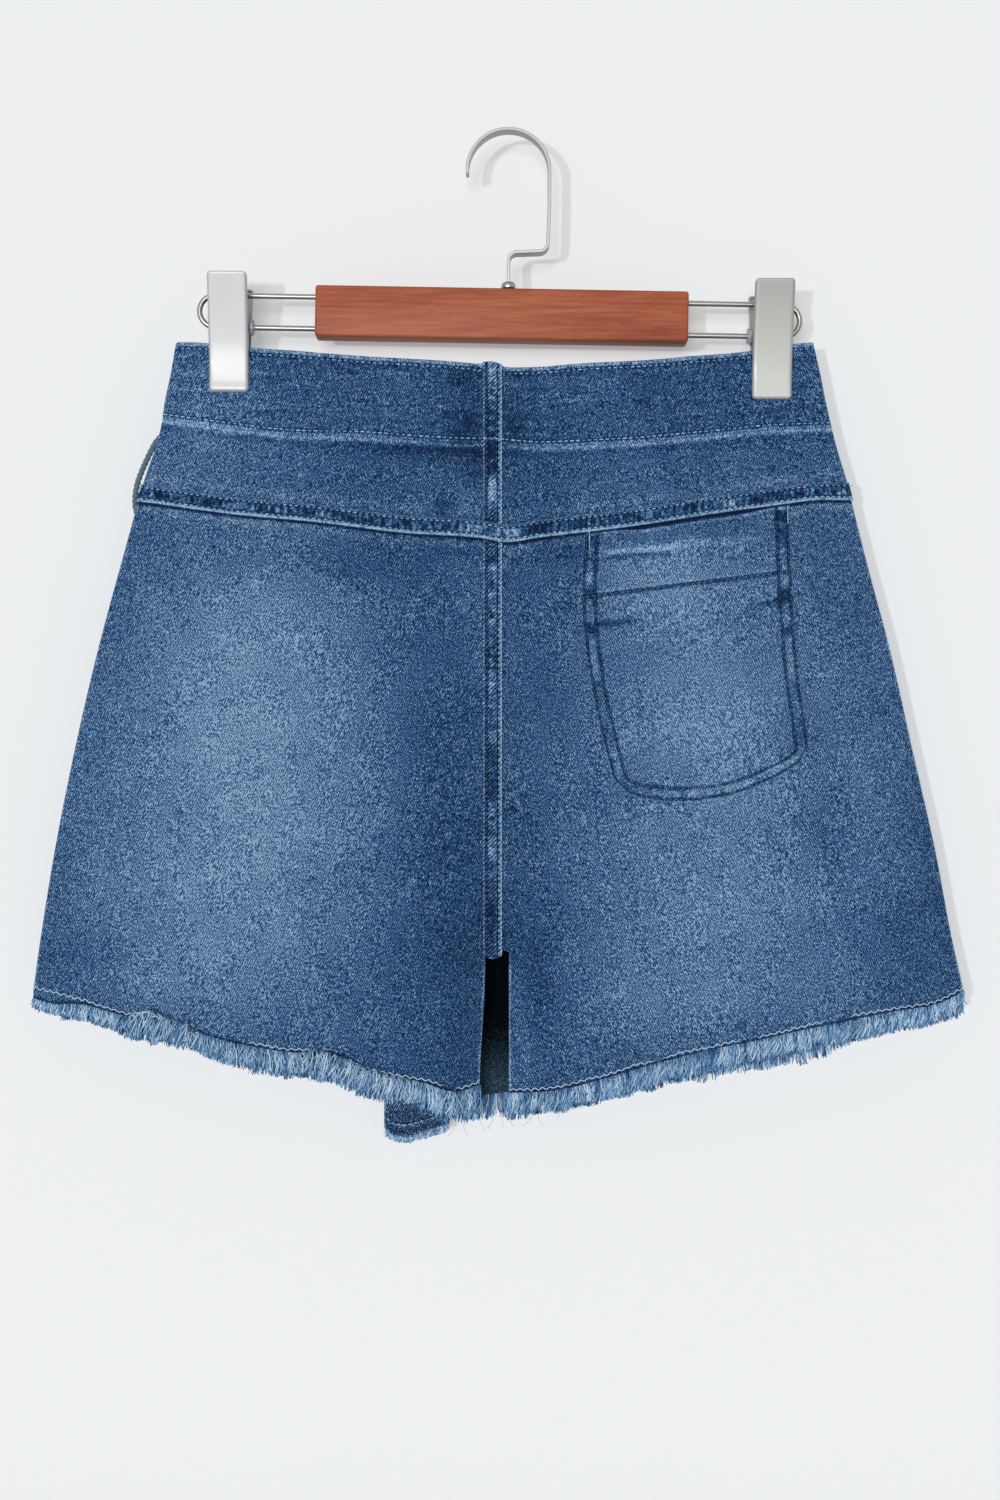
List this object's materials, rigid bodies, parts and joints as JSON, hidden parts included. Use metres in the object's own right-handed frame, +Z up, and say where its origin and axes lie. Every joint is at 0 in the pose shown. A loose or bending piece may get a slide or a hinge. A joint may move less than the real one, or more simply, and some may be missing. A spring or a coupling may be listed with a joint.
{
  "type": "denim wrap skort on a wooden clip hanger",
  "caption": "Short denim skort with a wrap flap, frayed hems, a patch pocket and a side lace, hung flat by its waistband from a wooden bar hanger with sliding clips.",
  "frame": {"origin": "the inner top of the hanger's hook, where a rail carries it", "axes": "+Z up, +X across the skort towards the wearer's right, +Y towards the skort's front; its back, with the patch pocket, faces -Y"},
  "size_m": [0.527, 0.0382, 0.5748],
  "materials": {
    "denim": "washed blue twill",
    "denim_band": "double denim, a little darker",
    "denim_seam": "folded seam, worn paler on its edges",
    "denim_facing": "unwashed inside face",
    "fray": "loose pale yarn",
    "lace": "twisted cotton cord",
    "wood": "red-brown satin lacquer",
    "nickel": "satin nickel plate",
    "bushing": "clear plastic"
  },
  "bodies": {
    "root": {"hanger_hook": "nickel", "hanger_collar": "nickel", "hanger_bar": "wood", "hanger_wire_left": "nickel", "hanger_wire_right": "nickel", "clip_left_back": "nickel", "clip_left_front": "nickel", "clip_right_back": "nickel", "clip_right_front": "nickel", "clip_left_bushing": "bushing", "clip_right_bushing": "bushing", "waistband_back_left": "denim_band", "waistband_back_right": "denim_band", "waistband_front": "denim_band", "yoke_back_left": "denim", "yoke_back_right": "denim", "leg_back_left": "denim", "leg_back_right": "denim", "seam_yoke_left": "denim_seam", "seam_yoke_right": "denim_seam", "seam_centre_upper": "denim_seam", "seam_centre_lower": "denim_seam", "pocket_back": "denim", "leg_front_left": "denim", "leg_front_right": "denim", "flap_front": "denim", "flap_facing": "denim_facing", "fringe_back_left": "fray", "fringe_back_right": "fray", "fringe_front_left": "fray", "fringe_front_right": "fray", "fringe_flap": "fray", "lace": "lace", "eyelet_upper": "nickel", "eyelet_lower": "nickel", "carrier_upper": "denim_seam", "carrier_lower": "denim_seam"}
  },
  "joints": []
}
